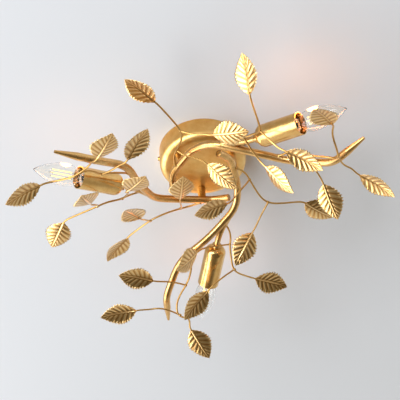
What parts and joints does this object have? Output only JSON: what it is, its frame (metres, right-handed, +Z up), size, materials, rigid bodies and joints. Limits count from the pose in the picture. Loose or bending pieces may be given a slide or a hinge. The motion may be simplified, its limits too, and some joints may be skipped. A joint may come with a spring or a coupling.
{
  "type": "ceiling light",
  "caption": "Flush ceiling light with a round canopy, vine arms on short stems, wire sprigs of stamped leaves and candle bulbs in plain cups.",
  "frame": {"origin": "on the ceiling plane at the canopy's axis", "axes": "+Z up into the ceiling, X along the ceiling bracket, the light hangs down into -Z"},
  "size_m": [0.5667, 0.5709, 0.2056],
  "materials": {
    "gold_sheet": "satin",
    "gold_leaf": "satin",
    "zinc_steel": "satin",
    "terminal_brass": "satin",
    "white_plastic": "matte",
    "clear_glass": "clear",
    "nickel_cap": "bright",
    "filament": "emissive when lit"
  },
  "bodies": {
    "canopy body": {"ceiling_bracket": "zinc_steel", "bracket_ears": "zinc_steel", "canopy": "gold_sheet", "canopy_side_screws": "terminal_brass", "terminal_block": "white_plastic", "terminal_clamps": "terminal_brass", "terminal_screws": "zinc_steel", "earth_screw": "terminal_brass", "canopy_leads": "white_plastic"},
    "arm a": {"arm_tube_a": "gold_sheet", "stem_a": "gold_sheet", "stem_nut_a": "zinc_steel", "branch_tube_a": "gold_sheet", "holder_cup_a": "gold_sheet", "lampholder_a": "white_plastic", "holder_contacts_a": "terminal_brass", "arm_lead_a": "white_plastic", "sprig_wire_inner_a": "gold_sheet", "sprig_wire_middle_a": "gold_sheet", "sprig_wire_outer_a": "gold_sheet", "leaves_inner_a": "gold_leaf", "leaves_middle_a": "gold_leaf", "leaves_outer_a": "gold_leaf"},
    "bulb a": {"bulb_glass_a": "clear_glass", "bulb_cap_a": "nickel_cap", "bulb_filaments_a": "filament"},
    "arm b": {"arm_tube_b": "gold_sheet", "stem_b": "gold_sheet", "stem_nut_b": "zinc_steel", "branch_tube_b": "gold_sheet", "holder_cup_b": "gold_sheet", "lampholder_b": "white_plastic", "holder_contacts_b": "terminal_brass", "arm_lead_b": "white_plastic", "sprig_wire_inner_b": "gold_sheet", "sprig_wire_middle_b": "gold_sheet", "sprig_wire_outer_b": "gold_sheet", "leaves_inner_b": "gold_leaf", "leaves_middle_b": "gold_leaf", "leaves_outer_b": "gold_leaf"},
    "bulb b": {"bulb_glass_b": "clear_glass", "bulb_cap_b": "nickel_cap", "bulb_filaments_b": "filament"},
    "arm c": {"arm_tube_c": "gold_sheet", "stem_c": "gold_sheet", "stem_nut_c": "zinc_steel", "branch_tube_c": "gold_sheet", "holder_cup_c": "gold_sheet", "lampholder_c": "white_plastic", "holder_contacts_c": "terminal_brass", "arm_lead_c": "white_plastic", "sprig_wire_inner_c": "gold_sheet", "sprig_wire_middle_c": "gold_sheet", "sprig_wire_outer_c": "gold_sheet", "leaves_inner_c": "gold_leaf", "leaves_middle_c": "gold_leaf", "leaves_outer_c": "gold_leaf"},
    "bulb c": {"bulb_glass_c": "clear_glass", "bulb_cap_c": "nickel_cap", "bulb_filaments_c": "filament"}
  },
  "joints": [
    {"name": "arm a swivel", "type": "hinge", "parent": "canopy body", "child": "arm a", "pos_m": [-0.04033, -0.03039, -0.049], "axis": [0, 0, 1], "range_deg": [-8, 4]},
    {"name": "bulb a draw", "type": "slide", "parent": "arm a", "child": "bulb a", "axis": [0.8229, -0.5142, -0.2419], "range_m": [0, 0.06]},
    {"name": "arm b swivel", "type": "hinge", "parent": "canopy body", "child": "arm b", "pos_m": [0.04648, -0.01973, -0.049], "axis": [0, 0, 1], "range_deg": [-8, 1]},
    {"name": "bulb b draw", "type": "slide", "parent": "arm b", "child": "bulb b", "axis": [-0.2511, 0.9372, -0.2419], "range_m": [0, 0.06]},
    {"name": "arm c swivel", "type": "hinge", "parent": "canopy body", "child": "arm c", "pos_m": [-0.00615, 0.05012, -0.049], "axis": [0, 0, 1], "range_deg": [-8, 3]},
    {"name": "bulb c draw", "type": "slide", "parent": "arm c", "child": "bulb c", "axis": [-0.785, -0.5703, -0.2419], "range_m": [0, 0.06]}
  ]
}
